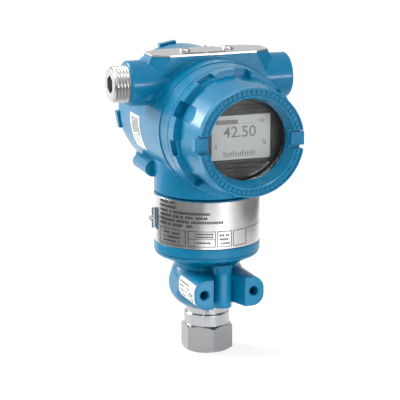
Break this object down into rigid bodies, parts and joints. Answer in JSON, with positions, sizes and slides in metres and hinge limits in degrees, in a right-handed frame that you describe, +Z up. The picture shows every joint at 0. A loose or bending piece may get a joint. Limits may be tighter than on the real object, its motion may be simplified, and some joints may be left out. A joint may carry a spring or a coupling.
{
  "type": "in-line pressure transmitter",
  "caption": "In-line pressure transmitter: round display window under a screw-on notched cover, rear terminal compartment, conduit entries, lugged sensor casting and hexagon process connection.",
  "frame": {"origin": "centre of the hexagon's bottom face, at the mouth of the threaded process hole", "axes": "+Z up along the process axis, -Y the way the display looks, X along the conduit entries, +X to the right seen from the display"},
  "size_m": [0.1072, 0.1309, 0.179],
  "materials": {
    "blue_paint": "satin",
    "stainless": "brushed",
    "charcoal_plastic": "matte",
    "screen_glass": "gloss",
    "clear_glass": "clear",
    "circuit_board": "gloss",
    "seal_rubber": "matte",
    "label_film": "matte",
    "button_plastic": "matte"
  },
  "bodies": {
    "sensor_module": {"process_connection": "stainless", "isolating_diaphragm": "stainless", "sensor_cell": "stainless", "sensor_casting": "blue_paint", "sensor_board": "circuit_board", "module_neck": "stainless", "neck_seal": "seal_rubber", "nameplate_band": "stainless", "band_screw": "stainless", "process_label": "label_film"},
    "housing": {"housing": "blue_paint", "housing_label": "label_film", "ground_screw": "stainless", "ground_washer": "stainless", "rotation_set_screw": "stainless", "inner_ground_screw": "stainless", "tag_screws": "stainless", "conduit_plug": "stainless", "electronics_can": "charcoal_plastic", "display_board": "circuit_board", "display_bezel": "charcoal_plastic", "display_screen": "screen_glass", "terminal_block": "charcoal_plastic", "terminal_screws": "stainless", "zero_spring": "stainless", "span_spring": "stainless"},
    "front_seal": {"front_cover_seal": "seal_rubber"},
    "front_cover": {"front_cover": "blue_paint", "window_glass": "clear_glass", "glass_retainer": "stainless"},
    "rear_seal": {"rear_cover_seal": "seal_rubber"},
    "rear_cover": {"rear_cover": "blue_paint"},
    "tag_plate": {"tag_plate": "stainless"},
    "zero_button": {"zero_button": "button_plastic"},
    "span_button": {"span_button": "button_plastic"}
  },
  "joints": [
    {"name": "housing_turn", "type": "hinge", "parent": "sensor_module", "child": "housing", "pos_m": [0, 0, 0.1], "axis": [0, 0, 1], "range_deg": [-180, 180]},
    {"name": "front_cover_travel", "type": "slide", "parent": "housing", "child": "front_seal", "axis": [0, -1, 0], "range_m": [0, 0.012]},
    {"name": "front_cover_turn", "type": "hinge", "parent": "front_seal", "child": "front_cover", "pos_m": [0, -0.0368, 0.1368], "axis": [0, -1, 0], "range_deg": [0, 2160]},
    {"name": "rear_cover_travel", "type": "slide", "parent": "housing", "child": "rear_seal", "axis": [0, 1, 0], "range_m": [0, 0.012]},
    {"name": "rear_cover_turn", "type": "hinge", "parent": "rear_seal", "child": "rear_cover", "pos_m": [0, 0.0486, 0.1368], "axis": [0, 1, 0], "range_deg": [0, 2160]},
    {"name": "tag_plate_swing", "type": "hinge", "parent": "housing", "child": "tag_plate", "pos_m": [-0.013, 0.0003, 0.1766], "axis": [0, 0, -1], "range_deg": [0, 95]},
    {"name": "zero_press", "type": "slide", "parent": "housing", "child": "zero_button", "axis": [0, 0, -1], "range_m": [0, 0.0015], "stiffness_N_per_m": 600, "springref_m": -0.001},
    {"name": "span_press", "type": "slide", "parent": "housing", "child": "span_button", "axis": [0, 0, -1], "range_m": [0, 0.0015], "stiffness_N_per_m": 600, "springref_m": -0.001}
  ],
  "couplings": [
    {"joint": "front_cover_turn", "follows": "front_cover_travel", "rad_per_m": 3141.6},
    {"joint": "rear_cover_turn", "follows": "rear_cover_travel", "rad_per_m": 3141.6}
  ]
}
